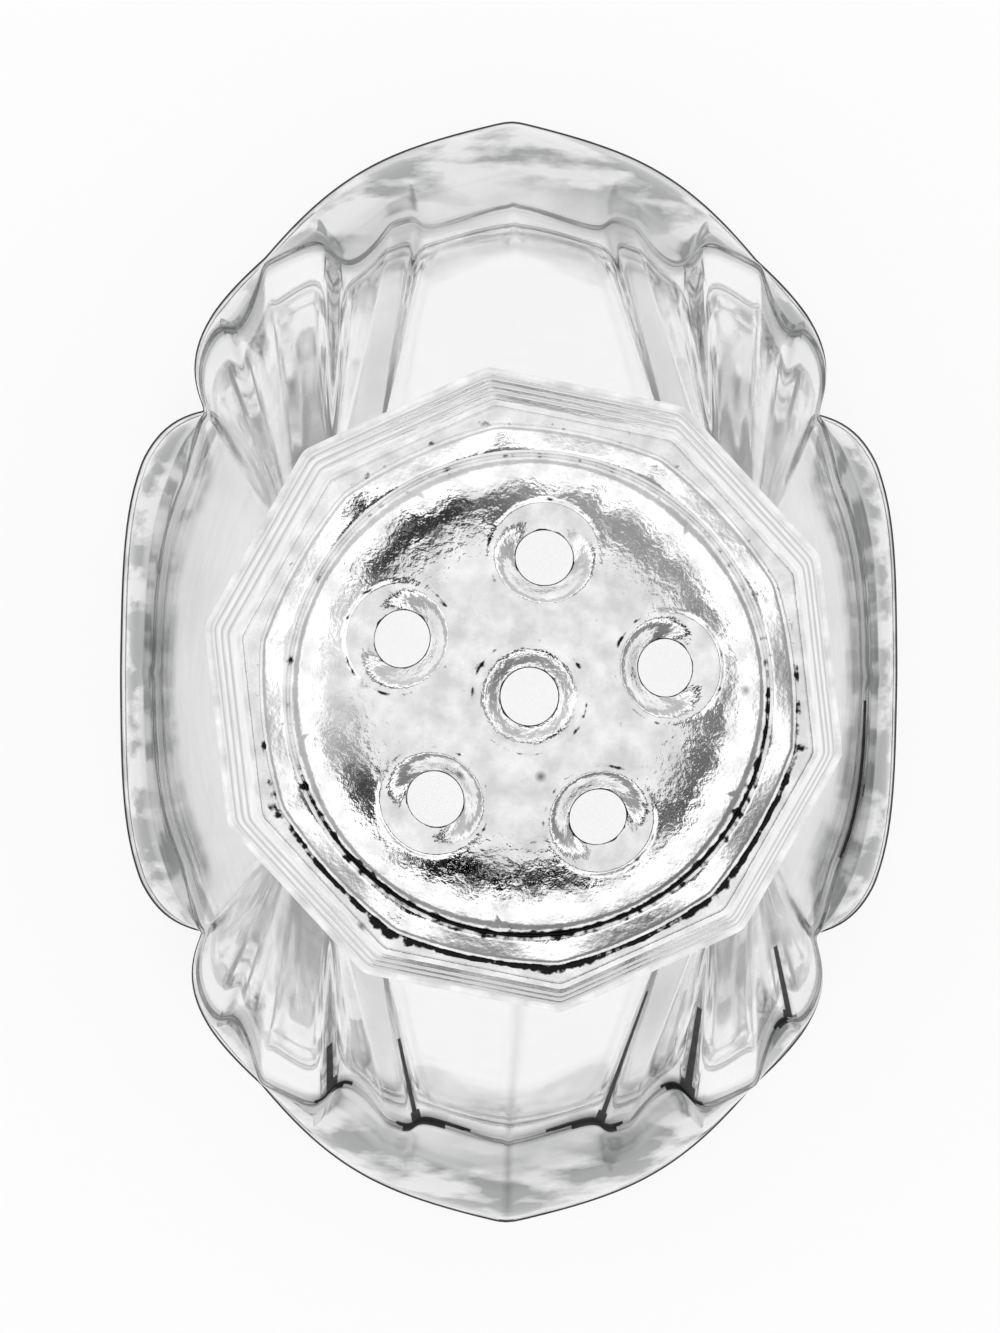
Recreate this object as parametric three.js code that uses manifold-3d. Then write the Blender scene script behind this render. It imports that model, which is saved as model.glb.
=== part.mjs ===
// Condiment shaker: an oblong body of clear pressed glass with a fan of flutes at each corner, closed by a
// ten-sided screw cap with a pierced dome. Millimetres, +Z up, +Y along the longer side of the foot.
// The origin is the centre of the underside.
import * as THREE from "three";
import { mergeVertices } from "three/addons/utils/BufferGeometryUtils.js";
import Module from "manifold-3d";

const wasm = await Module();
wasm.setup();

// Foot outline of one quarter, in plan: a pointed end, a slight pleat, a deep notch and a bowed side
const footLength = 71.2;
const footWidth = 50.2;
const pleatX = 15.85;
const pleatY = 26.7;
const notchX = 19.7;
const notchY = 16.8;

// Each stretch of the outline is a curve that leaves and arrives at a slope (degrees down from +X) and pull
const tipSlope = 13;
const tipPull = 8;
const pleatEndSlope = 50;
const pleatEndPull = 7.5;
const pleatLobeSlope = 42;
const pleatLobePull = 4.4;
const notchLobeSlope = 117;
const notchLobePull = 4.4;
const notchSideSlope = 9;
const notchSidePull = 5.6;
const sideSlope = 89;
const sidePull = 8.5;

// Foot and base
const footHeight = 8;
const ledgeRise = 5.4;
const footBevel = 1.4;
const footDraft = 0.3;
const standWidth = 4.2;
const puntSlope = 1.2;
const puntDepth = 1.1;

// Width of the ledge between the foot's edge and the wall above it
const panelLedge = 5.9;
const ribLedge = 4.8;
const fluteLedge = 5;
const pleatRibLedge = 2.5;
const pleatLedge = 0.9;
const cornerFluteLedge = 2.6;
const lobeLedge = 1.3;
const notchLedge = 0.8;
const sideCornerLedge = 3.4;
const sideLedge = 2.6;

// Widths of the stretches between the pointed end and the side, along the foot's outline. The flute, the
// lobe and the side panel take what is left of their curves. A narrow step parts one stretch from the next.
const panelWidth = 7;
const ribWidth = 1.6;
const pleatRibWidth = 4.2;
const cornerFluteWidth = 4;
const sideCornerWidth = 4.6;
const stepWidth = 0.5;

// Angles in degrees that the heads of the same stretches take on the shoulder ring, the side panel the rest
const panelHead = 30;
const ribHead = 9;
const fluteHead = 1.5;
const pleatRibHead = 9;
const cornerFluteHead = 1.5;
const lobeHead = 2;
const sideCornerHead = 3;
const stepHead = 0.8;

// Wall, shoulder and neck
const shoulderZ = 57.5;
const shoulderReach = 4.1;
const shoulderRise = 1.6;
const shoulderRound = 1;
const neckRadius = 12.3;
const neckFillet = 0.7;
const neckHeight = 11.4;
const neckWall = 2.5;
const rimRound = 0.7;

// Hollow inside
const glassWall = 3;
const floorZ = 8;
const floorRound = 4.5;
const hollowTopWall = 4;
const hollowNeckSlope = 6;

// Screw thread, right-handed
const threadLead = 4;
const threadTurns = 1.25;
const threadHeight = 1;
const threadTaper = 0.8;
const threadStart = 21;
const threadFade = 30;
const threadEnd = 0.3;
const threadSunk = 0.3;
const threadClearance = 0.25;
const flankClearance = 0.3;

// Cap: sealing washer, threaded insert and sheet-metal shell
const seatGap = 0.15;
const washerThickness = 1.2;
const flangeThickness = 1;
const flangeLip = 0.8;
const insertWall = 0.95;
const fitGap = 0.25;
const sheet = 0.7;
const capSides = 10;
const capCorner = 96.8;
const capFlare = 2;
const skirtGap = 0.5;
const lipHeight = 0.8;
const lipProud = 0.25;
const insertRecess = 0.6;
const skirtEdge = 0.35;
const creaseInset = 0.6;
const creaseDepth = 0.3;
const creaseWidth = 0.2;
const creaseStep = 0.15;
const bandWidth = 1.9;
const bandDrop = 1;
const bandFacet = 0.4;
const domeRadius = 25;
const domeGap = 0.4;

// Shaker holes: one in the middle and a ring round it, each at the bottom of a punched dimple
const holeCount = 5;
const holeRing = 7.85;
const holeStart = 84;
const holeRadius = 1.57;
const dimpleRadius = 2.57;
const dimpleDepth = 0.9;

// Facets
const capSegmentsPerSide = 4;
const domeRows = 7;
const threadSteps = 40;
const holeSegments = 20;
const ledgeSteps = 3;
const wallRows = 2;
const floorSteps = 3;

const { degToRad, lerp } = THREE.MathUtils;
const quarterTurn = Math.PI / 2;

// A closed mesh from rings of equally many points, anticlockwise from above; a ring of one point is a pole
function loft(rings) {
  const around = Math.max(...rings.map((ring) => ring.length));
  const points = [];
  const faces = [];
  const first = rings.map((ring) => {
    const start = points.length;
    points.push(...ring);
    return (k) => start + (ring.length === 1 ? 0 : k % around);
  });
  for (let i = 0; i + 1 < rings.length; i++) {
    for (let k = 0; k < around; k++) {
      const [a, b] = [first[i](k), first[i](k + 1)];
      const [d, c] = [first[i + 1](k), first[i + 1](k + 1)];
      if (a !== b) faces.push(a, b, c);
      if (c !== d) faces.push(a, c, d);
    }
  }
  return new THREE.BufferGeometry().setFromPoints(points).setIndex(faces);
}

// The solid of a closed geometry, and the geometry of a solid
function solidOf(geometry) {
  const plain = geometry.clone();
  plain.deleteAttribute("normal");
  plain.deleteAttribute("uv");
  const merged = mergeVertices(plain, 1e-4);
  const vertProperties = merged.attributes.position.array;
  const triVerts = new Uint32Array(merged.index.array);
  return new wasm.Manifold(new wasm.Mesh({ numProp: 3, vertProperties, triVerts }));
}

function geometryOf(solid) {
  const mesh = solid.getMesh();
  const geometry = new THREE.BufferGeometry();
  geometry.setAttribute("position", new THREE.BufferAttribute(mesh.vertProperties, 3));
  geometry.setIndex(new THREE.BufferAttribute(mesh.triVerts, 1));
  geometry.computeVertexNormals();
  return geometry;
}

// A plan curve that leaves one point at a slope and pull and arrives at the next with another
function sweep(from, fromSlope, fromPull, to, toSlope, toPull) {
  const origin = new THREE.Vector2();
  const along = (slope, pull) => new THREE.Vector2(pull, 0).rotateAround(origin, -degToRad(slope));
  const leave = from.clone().add(along(fromSlope, fromPull));
  const arrive = to.clone().sub(along(toSlope, toPull));
  return new THREE.CubicBezierCurve(from, leave, arrive, to);
}

const tip = new THREE.Vector2(0, footLength / 2);
const pleat = new THREE.Vector2(pleatX, pleatY);
const notch = new THREE.Vector2(notchX, notchY);
const sideMiddle = new THREE.Vector2(footWidth / 2, 0);
const endCurve = sweep(tip, tipSlope, tipPull, pleat, pleatEndSlope, pleatEndPull);
const lobeCurve = sweep(pleat, pleatLobeSlope, pleatLobePull, notch, notchLobeSlope, notchLobePull);
const sideCurve = sweep(notch, notchSideSlope, notchSidePull, sideMiddle, sideSlope, sidePull);

// The plan point moved towards the axis by a distance
const inset = (point, distance) => point.clone().multiplyScalar(1 - distance / point.length());

// The stretches of a quarter from the pointed end to the side: end panel, rib, flute, pleat rib, corner
// flute, lobe, side corner and side panel. Ledges are the widths of the ledge at a stretch's two ends.
const stretches = [
  { curve: endCurve, width: panelWidth, head: panelHead, steps: 4, ledges: [panelLedge, panelLedge] },
  { curve: endCurve, width: ribWidth, head: ribHead, steps: 2, ledges: [ribLedge, ribLedge] },
  { curve: endCurve, head: fluteHead, steps: 2, ledges: [ribLedge, fluteLedge] },
  {
    curve: endCurve,
    width: pleatRibWidth,
    head: pleatRibHead,
    steps: 2,
    ledges: [pleatRibLedge, pleatLedge],
  },
  {
    curve: lobeCurve,
    width: cornerFluteWidth,
    head: cornerFluteHead,
    steps: 2,
    ledges: [pleatLedge, cornerFluteLedge],
  },
  { curve: lobeCurve, head: lobeHead, steps: 4, ledges: [lobeLedge, notchLedge], bowed: true },
  {
    curve: sideCurve,
    width: sideCornerWidth,
    head: sideCornerHead,
    steps: 2,
    ledges: [notchLedge, sideCornerLedge],
  },
  { curve: sideCurve, steps: 5, ledges: [sideCornerLedge, sideLedge], bowed: true },
];

// What the widths set on a curve, and the steps before its stretches, leave for the stretch that has none
function spareWidth(curve) {
  const own = stretches.filter((stretch) => stretch.curve === curve);
  const steps = curve === endCurve ? own.length - 1 : own.length;
  const taken = own.reduce((total, { width = 0 }) => total + width, steps * stepWidth);
  return curve.getLength() - taken;
}

// The angle that the other heads and the steps between them leave of the quarter
const spareHead = 90 - stretches.reduce((total, { head = 0 }) => total + head + stepHead, -stepHead);

// Stations round the quarter: a point of the foot's outline, the wall's foot inside it and the angle of the
// wall's head. A wall stands on the straight line between its ends. Where bowed, it follows the outline, and
// its ledge settles to the width at its far end.
function quarterStations() {
  const stations = [];
  let angle = 0;
  let start = 0;
  let previous = endCurve;
  for (const { curve, width = spareWidth(curve), head = spareHead, steps, ledges, bowed } of stretches) {
    if (curve !== previous) start = stepWidth;
    const end = start + width;
    const reach = curve.getLength();
    const outline = (f) => curve.getPointAt(Math.min(1, lerp(start, end, f) / reach));
    const ends = [inset(outline(0), ledges[0]), inset(outline(1), ledges[1])];
    for (let k = 0; k <= steps; k++) {
      const f = k / steps;
      const straight = ends[0].clone().lerp(ends[1], f);
      const settled = lerp(ledges[0], ledges[1], f * (2 - f));
      const wall = bowed ? inset(outline(f), settled) : straight;
      stations.push({ foot: outline(f), wall, head: degToRad(angle + head * f) });
    }
    angle += head + stepHead;
    start = end + stepWidth;
    previous = curve;
  }
  return stations;
}

// From +X to +Y
const quarter = quarterStations().reverse();

// A full ring of the body from the points of one quarter, which run from +X to +Y
function bodyRing(z, pointAt) {
  const first = quarter.map((station, k) => pointAt(station, k / (quarter.length - 1)));
  const half = [...first, ...first.slice(0, -1).reverse().map((p) => new THREE.Vector2(-p.x, p.y))];
  const rest = half.slice(1, -1).reverse().map((p) => new THREE.Vector2(p.x, -p.y));
  return [...half, ...rest].map((p) => new THREE.Vector3(p.x, p.y, z));
}

const ellipsePoint = (halfX, halfY, angle) =>
  new THREE.Vector2(halfX * Math.cos(angle), halfY * Math.sin(angle));
const wallBaseZ = footHeight + ledgeRise;
const shoulderRadius = neckRadius + shoulderReach;
const footRing = (z, distance) => bodyRing(z, (station) => inset(station.foot, distance));
const ledgeRing = (z, share) => bodyRing(z, (station) => station.foot.clone().lerp(station.wall, share));
const ovalRing = (z, halfX, halfY) => bodyRing(z, (_, f) => ellipsePoint(halfX, halfY, f * quarterTurn));
const roundRing = (z, radius) => ovalRing(z, radius, radius);
const wallRing = (share) =>
  bodyRing(lerp(wallBaseZ, shoulderZ, share), (station) => {
    const head = ellipsePoint(shoulderRadius, shoulderRadius, quarterTurn - station.head);
    return station.wall.clone().lerp(head, share);
  });

// Half sizes of the hollow: the largest oval of the wall's proportions that leaves the glass wall all round
function hollowHalves() {
  const halfX = quarter[0].wall.length() - glassWall;
  const halfY = quarter[quarter.length - 1].wall.length() - glassWall;
  const shares = quarter.map(({ wall }) => {
    const reach = Math.hypot(wall.x / halfX, wall.y / halfY);
    return (1 - glassWall / wall.length()) * reach;
  });
  const share = Math.min(1, ...shares);
  return [halfX * share, halfY * share];
}

const neckBaseZ = shoulderZ + shoulderRise;
const rimZ = neckBaseZ + neckHeight;
const boreRadius = neckRadius - neckWall;
const threadRadius = neckRadius + threadHeight;
const threadBaseZ = neckBaseZ + (neckHeight - threadTurns * threadLead) / 2;
const threadReach = 1 + threadClearance / threadHeight;
const threadFoot = threadLead / 2 - flankClearance + (threadTaper * threadReach) / 2;
const threadCrest = threadFoot - threadTaper;

// A helical ridge of trapezoid section round a wall, sunk into it, that fades in and out at its two ends
function threadRidge(wallRadius, rise, startZ, startAngle) {
  const root = wallRadius - Math.sign(rise) * threadSunk;
  const steps = Math.round(threadTurns * threadSteps);
  const sections = Array.from({ length: steps + 1 }, (_, k) => {
    const turned = (k / steps) * threadTurns * 360;
    const fade = Math.min(1, turned / threadFade, (threadTurns * 360 - turned) / threadFade);
    const angle = degToRad(startAngle + turned);
    const z = startZ + (turned / 360) * threadLead;
    const crest = wallRadius + lerp(threadEnd, 1, fade) * rise;
    const [across, along] = [Math.cos(angle), Math.sin(angle)];
    const corner = (radius, dz) => new THREE.Vector3(radius * across, radius * along, z + dz);
    const section = [
      corner(root, -threadFoot / 2),
      corner(crest, -threadCrest / 2),
      corner(crest, threadCrest / 2),
      corner(root, threadFoot / 2),
    ];
    return rise > 0 ? section.reverse() : section;
  });
  const middle = (section) => section[0].clone().add(section[2]).divideScalar(2);
  return loft([[middle(sections[0])], ...sections, [middle(sections[steps])]]);
}

// Clear pressed glass: foot, fluted wall, shoulder, threaded neck and the hollow inside, one closed skin
function glassBody() {
  const [hollowX, hollowY] = hollowHalves();
  const hollowTop = shoulderRadius - hollowTopWall;
  const hollowTopZ = neckBaseZ - hollowNeckSlope;
  const hollowSideZ = floorZ + floorRound;
  const rings = [
    [new THREE.Vector3(0, 0, puntDepth)],
    footRing(puntDepth, standWidth + puntSlope),
    footRing(0, standWidth),
    footRing(0, footBevel),
    footRing(footBevel, footDraft),
    footRing(footHeight / 2, 0),
    footRing(footHeight, footDraft),
    ...Array.from({ length: ledgeSteps - 1 }, (_, k) => {
      const bend = ((k + 1) / ledgeSteps) * quarterTurn;
      return ledgeRing(footHeight + ledgeRise * Math.sin(bend), 1 - Math.cos(bend));
    }),
    ...Array.from({ length: wallRows + 1 }, (_, k) => wallRing(k / wallRows)),
    roundRing(shoulderZ + shoulderRound, shoulderRadius - shoulderRound),
    roundRing(neckBaseZ, neckRadius + neckFillet),
    roundRing(neckBaseZ + neckFillet, neckRadius),
    roundRing(rimZ - rimRound, neckRadius),
    roundRing(rimZ, neckRadius - rimRound),
    roundRing(rimZ, boreRadius + rimRound),
    roundRing(rimZ - rimRound, boreRadius),
    roundRing(neckBaseZ, boreRadius),
    roundRing(hollowTopZ, hollowTop),
    ovalRing((hollowSideZ + hollowTopZ) / 2, (hollowX + hollowTop) / 2, (hollowY + hollowTop) / 2),
    ...Array.from({ length: floorSteps + 1 }, (_, k) => {
      const bend = (k / floorSteps) * quarterTurn;
      const round = floorRound * (1 - Math.cos(bend));
      return ovalRing(hollowSideZ - floorRound * Math.sin(bend), hollowX - round, hollowY - round);
    }),
    [new THREE.Vector3(0, 0, floorZ)],
  ];
  const thread = threadRidge(neckRadius, threadHeight, threadBaseZ, threadStart);
  return geometryOf(solidOf(loft(rings)).add(solidOf(thread)));
}

// A ring of the cap: round, or ten-sided with its flats closer in; facet is 0 for round, 1 for flat
function capRing(z, corner, facet) {
  const around = capSides * capSegmentsPerSide;
  const half = Math.PI / capSides;
  return Array.from({ length: around }, (_, k) => {
    const past = ((k % capSegmentsPerSide) / capSegmentsPerSide) * 2 * half;
    const flat = Math.cos(half) / Math.cos(past - half);
    const radius = corner * lerp(1, flat, facet);
    const angle = degToRad(capCorner) + (k / around) * 2 * Math.PI;
    return new THREE.Vector3(radius * Math.cos(angle), radius * Math.sin(angle), z);
  });
}

const flatToCorner = 1 / Math.cos(Math.PI / capSides);
const insertBore = threadRadius + threadClearance;
const insertTopFlat = insertBore + insertWall;
const skirtTopFlat = insertTopFlat + fitGap + sheet;
const skirtTopCorner = skirtTopFlat * flatToCorner;
const skirtBaseCorner = skirtTopCorner + capFlare;
const crease2Radius = skirtTopFlat - creaseInset;
const crease1Radius = crease2Radius - bandWidth;
const washerZ = rimZ + seatGap;
const flangeZ = washerZ + washerThickness + seatGap;
const insertTopZ = flangeZ + flangeThickness;
const crease1Z = insertTopZ + domeGap + sheet;
const crease2Z = crease1Z - bandDrop;
const skirtTopZ = crease2Z;
const skirtBaseZ = neckBaseZ + skirtGap;
const lipTopZ = skirtBaseZ + lipHeight;
const insertBaseZ = skirtBaseZ + insertRecess;
const domeCentreZ = crease1Z - Math.sqrt(domeRadius ** 2 - crease1Radius ** 2);

// Ten-sided sheet at a height: the corner radius of the skirt's outside there
const skirtCorner = (z) => lerp(skirtBaseCorner, skirtTopCorner, (z - lipTopZ) / (skirtTopZ - lipTopZ));

// Rings of a dome, evenly from its edge in to the pole
function domeRings(radius, edge) {
  const rings = Array.from({ length: domeRows }, (_, k) => {
    const reach = edge * (1 - k / domeRows);
    return capRing(domeCentreZ + Math.sqrt(radius ** 2 - reach ** 2), reach, 0);
  });
  return [...rings, [new THREE.Vector3(0, 0, domeCentreZ + radius)]];
}

// A turned tool or boss on the dome, its axis along the dome's normal and its zero on the dome's outside
function onDome(profile, reach, angle) {
  const geometry = new THREE.LatheGeometry(profile.map(([r, z]) => new THREE.Vector2(r, z)), holeSegments);
  geometry.rotateX(Math.PI / 2);
  geometry.translate(0, 0, domeRadius);
  geometry.rotateY(Math.asin(reach / domeRadius));
  geometry.rotateZ(degToRad(angle));
  geometry.translate(0, 0, domeCentreZ);
  return solidOf(geometry);
}

// Chromed sheet: pierced dome, two creases with a faceted band between them, flared skirt and rolled lip
function capShell() {
  const innerFlat = (corner) => corner - sheet * flatToCorner;
  const innerDome = domeRadius - sheet;
  const innerEdge = crease1Radius - creaseDepth;
  const outside = [
    ...domeRings(domeRadius, crease1Radius).reverse(),
    capRing(crease1Z - creaseDepth, crease1Radius + creaseWidth, 0),
    capRing(crease1Z - creaseStep, crease1Radius + 2 * creaseWidth, 0),
    capRing(crease2Z + creaseStep, crease2Radius, bandFacet),
    capRing(crease2Z - creaseStep, crease2Radius + creaseWidth, bandFacet),
    capRing(skirtTopZ, skirtTopCorner - skirtEdge, 1),
    capRing(skirtTopZ - skirtEdge, skirtCorner(skirtTopZ - skirtEdge), 1),
    capRing(lipTopZ, skirtBaseCorner, 1),
    capRing(lipTopZ - lipProud, skirtBaseCorner + lipProud, 1),
    capRing(skirtBaseZ + lipProud, skirtBaseCorner + lipProud, 1),
    capRing(skirtBaseZ, skirtBaseCorner, 1),
  ];
  const inside = [
    capRing(skirtBaseZ, innerFlat(skirtBaseCorner), 1),
    capRing(skirtTopZ - sheet, innerFlat(skirtCorner(skirtTopZ - sheet)), 1),
    ...domeRings(innerDome, innerEdge),
  ];
  const ring = Array.from({ length: holeCount }, (_, k) => {
    return { reach: holeRing, angle: holeStart + (k * 360) / holeCount };
  });
  const holes = [{ reach: 0, angle: 0 }, ...ring];
  const bossFoot = -dimpleDepth - sheet;
  const boss = [
    [0, bossFoot],
    [holeRadius + sheet, bossFoot],
    [dimpleRadius + sheet, -sheet / 2],
    [0, -sheet / 2],
  ];
  const flare = (dimpleRadius - holeRadius) / dimpleDepth;
  const cutter = [
    [0, bossFoot - sheet],
    [holeRadius, bossFoot - sheet],
    [holeRadius, -dimpleDepth],
    [dimpleRadius + flare * sheet, sheet],
    [0, sheet],
  ];
  let solid = solidOf(loft([...outside, ...inside].reverse()));
  for (const { reach, angle } of holes) solid = solid.add(onDome(boss, reach, angle));
  for (const { reach, angle } of holes) solid = solid.subtract(onDome(cutter, reach, angle));
  return geometryOf(solid);
}

// Moulded liner pressed into the shell: ten-sided outside, internal thread and a flange over the washer
function threadInsert() {
  const outer = (z) => skirtCorner(z) - (sheet + fitGap) * flatToCorner;
  const shoulder = skirtTopZ - sheet - fitGap;
  const flangeBore = boreRadius + flangeLip;
  const topRadius = crease1Radius - creaseDepth - fitGap;
  const rings = [
    capRing(flangeZ, flangeBore, 0),
    capRing(flangeZ, insertBore, 0),
    capRing(insertBaseZ, insertBore, 0),
    capRing(insertBaseZ, outer(insertBaseZ), 1),
    capRing(shoulder, outer(shoulder), 1),
    capRing(insertTopZ, topRadius, 0),
    capRing(insertTopZ, flangeBore, 0),
  ];
  const lift = insertBaseZ + threadFoot / 2 + fitGap - (threadBaseZ - threadLead / 2);
  const turned = threadStart + (lift / threadLead) * 360;
  const thread = threadRidge(insertBore, -threadHeight, threadBaseZ - threadLead / 2 + lift, turned);
  return geometryOf(solidOf(loft([...rings, rings[0]])).add(solidOf(thread)));
}

// Flat ring that seals the glass rim against the insert's flange
function sealingWasher() {
  const inner = boreRadius + rimRound / 2;
  const outer = insertBore - threadClearance;
  const profile = [
    [inner, washerZ],
    [outer, washerZ],
    [outer, washerZ + washerThickness],
    [inner, washerZ + washerThickness],
    [inner, washerZ],
  ];
  const geometry = new THREE.LatheGeometry(profile.map(([r, z]) => new THREE.Vector2(r, z)), threadSteps);
  return geometry.rotateX(Math.PI / 2);
}

const clearGlass = new THREE.MeshStandardMaterial({
  color: 0xf1f4f5,
  roughness: 0.04,
  metalness: 0,
  transparent: true,
  opacity: 0.35,
});
const chrome = new THREE.MeshStandardMaterial({ color: 0xdcdee0, roughness: 0.14, metalness: 1 });
const whitePlastic = new THREE.MeshStandardMaterial({ color: 0xe6e6e2, roughness: 0.5, metalness: 0 });
const paleRubber = new THREE.MeshStandardMaterial({ color: 0xc9c7c0, roughness: 0.75, metalness: 0 });

const shaker = new THREE.Group();
const pieces = [
  ["glass_body", glassBody(), clearGlass],
  ["cap_shell", capShell(), chrome],
  ["thread_insert", threadInsert(), whitePlastic],
  ["sealing_washer", sealingWasher(), paleRubber],
];
for (const [name, geometry, material] of pieces) {
  const mesh = new THREE.Mesh(geometry, material);
  mesh.name = name;
  shaker.add(mesh);
}

export default shaker;
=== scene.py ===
import math
from types import SimpleNamespace

import bpy
import numpy as np
from mathutils import Matrix, Vector


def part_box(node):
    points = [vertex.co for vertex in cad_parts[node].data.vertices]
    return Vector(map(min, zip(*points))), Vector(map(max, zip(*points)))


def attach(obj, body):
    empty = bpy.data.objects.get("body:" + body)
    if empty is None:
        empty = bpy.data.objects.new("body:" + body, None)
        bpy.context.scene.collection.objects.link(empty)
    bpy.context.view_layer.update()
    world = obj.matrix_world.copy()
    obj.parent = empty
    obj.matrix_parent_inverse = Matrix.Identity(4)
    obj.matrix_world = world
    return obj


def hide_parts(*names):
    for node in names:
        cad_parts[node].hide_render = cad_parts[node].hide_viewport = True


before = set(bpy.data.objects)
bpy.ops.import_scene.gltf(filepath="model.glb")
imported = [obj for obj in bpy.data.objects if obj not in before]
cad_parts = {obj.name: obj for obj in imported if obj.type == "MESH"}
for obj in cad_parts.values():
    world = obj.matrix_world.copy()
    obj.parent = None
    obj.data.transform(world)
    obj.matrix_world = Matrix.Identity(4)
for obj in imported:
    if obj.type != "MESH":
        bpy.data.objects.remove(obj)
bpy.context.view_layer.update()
mm = 0.001  # shapes are worked out in millimetres and stored in metres
print("frame loaded")


# The values of a dictionary, to be read by name
def named(values):
    return SimpleNamespace(**values)


# The corners of a CAD node in millimetres
def nodeBox(node):
    low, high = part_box(node)
    return np.array(low) / mm, np.array(high) / mm


# A mesh object from points (n, 3) in millimetres and faces, smooth all over
def meshPiece(name, points, faces):
    mesh = bpy.data.meshes.new(name)
    mesh.from_pydata((points * mm).tolist(), [], faces)
    mesh.shade_smooth()
    mesh.validate()
    piece = bpy.data.objects.new(name, mesh)
    bpy.context.scene.collection.objects.link(piece)
    return piece


# A value for each point of a piece, for its finish to read
def pointValues(piece, name, values):
    attribute = piece.data.attributes.new(name, "FLOAT", "POINT")
    attribute.data.foreach_set("value", values.astype(np.float32))


# Point numbers in the shape of a grid (rows, columns), counted on from a first one
def gridNumbers(grid, first=0):
    return first + np.arange(grid.shape[0] * grid.shape[1]).reshape(grid.shape[:2])


# Quads between neighbouring rows of a grid of point numbers, closed round the columns
def gridFaces(numbers):
    ahead = np.roll(numbers, -1, axis=1)
    quads = np.stack([numbers[:-1], ahead[:-1], ahead[1:], numbers[1:]], axis=-1)
    return quads.reshape(-1, 4).tolist()


# Triangles from one pole to a ring of point numbers
def poleFaces(pole, ring, upwards):
    ahead = np.roll(ring, -1)
    middle = np.full_like(ring, pole)
    order = [middle, ahead, ring] if upwards else [middle, ring, ahead]
    return np.stack(order, axis=-1).tolist()


# Smooth step: 0 below the low edge, 1 above the high edge, 3t^2 - 2t^3 between them
def ease(value, low, high):
    share = np.clip((value - low) / (high - low), 0.0, 1.0)
    return share * share * (3.0 - 2.0 * share)


mostReach = 0.48  # share of a side that the rounding of a corner takes at most


# Rows of points from a profile, a dictionary of rings of points, one a corner. Each inner corner becomes a
# quadratic curve, (1-t)^2 a + 2t(1-t) b + t^2 c, that starts and ends its rounding before and after it, and
# the straight before it gets its own number of rows. Also returns the number of the corner that each row
# belongs to, less a half on the straight before it.
def roundedRows(profile, rounding, straightRows, steps):
    corners = np.array(list(profile.values()))
    rows, owners = [corners[:1]], [[0.0]]
    for i, name in list(enumerate(profile))[1:-1]:
        back, ahead = corners[i - 1] - corners[i], corners[i + 1] - corners[i]
        backLength = np.linalg.norm(back, axis=-1, keepdims=True) + 1e-9
        aheadLength = np.linalg.norm(ahead, axis=-1, keepdims=True) + 1e-9
        reach = np.minimum(rounding[name], mostReach * np.minimum(backLength, aheadLength))
        start, end = corners[i] + back / backLength * reach, corners[i] + ahead / aheadLength * reach
        along = np.linspace(0.0, 1.0, straightRows.get(name, 0) + 2)[1:-1, None, None]
        rows.append(rows[-1][-1:] * (1.0 - along) + start[None] * along)
        t = np.linspace(0.0, 1.0, steps + 1)[:, None, None]
        rows.append((1 - t) ** 2 * start + 2 * t * (1 - t) * corners[i] + t ** 2 * end)
        owners += [[i - 0.5] * len(along), [float(i)] * len(t)]
    rows.append(corners[-1:])
    owners.append([float(len(corners) - 1)])
    return np.concatenate(rows), np.concatenate(owners)


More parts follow.
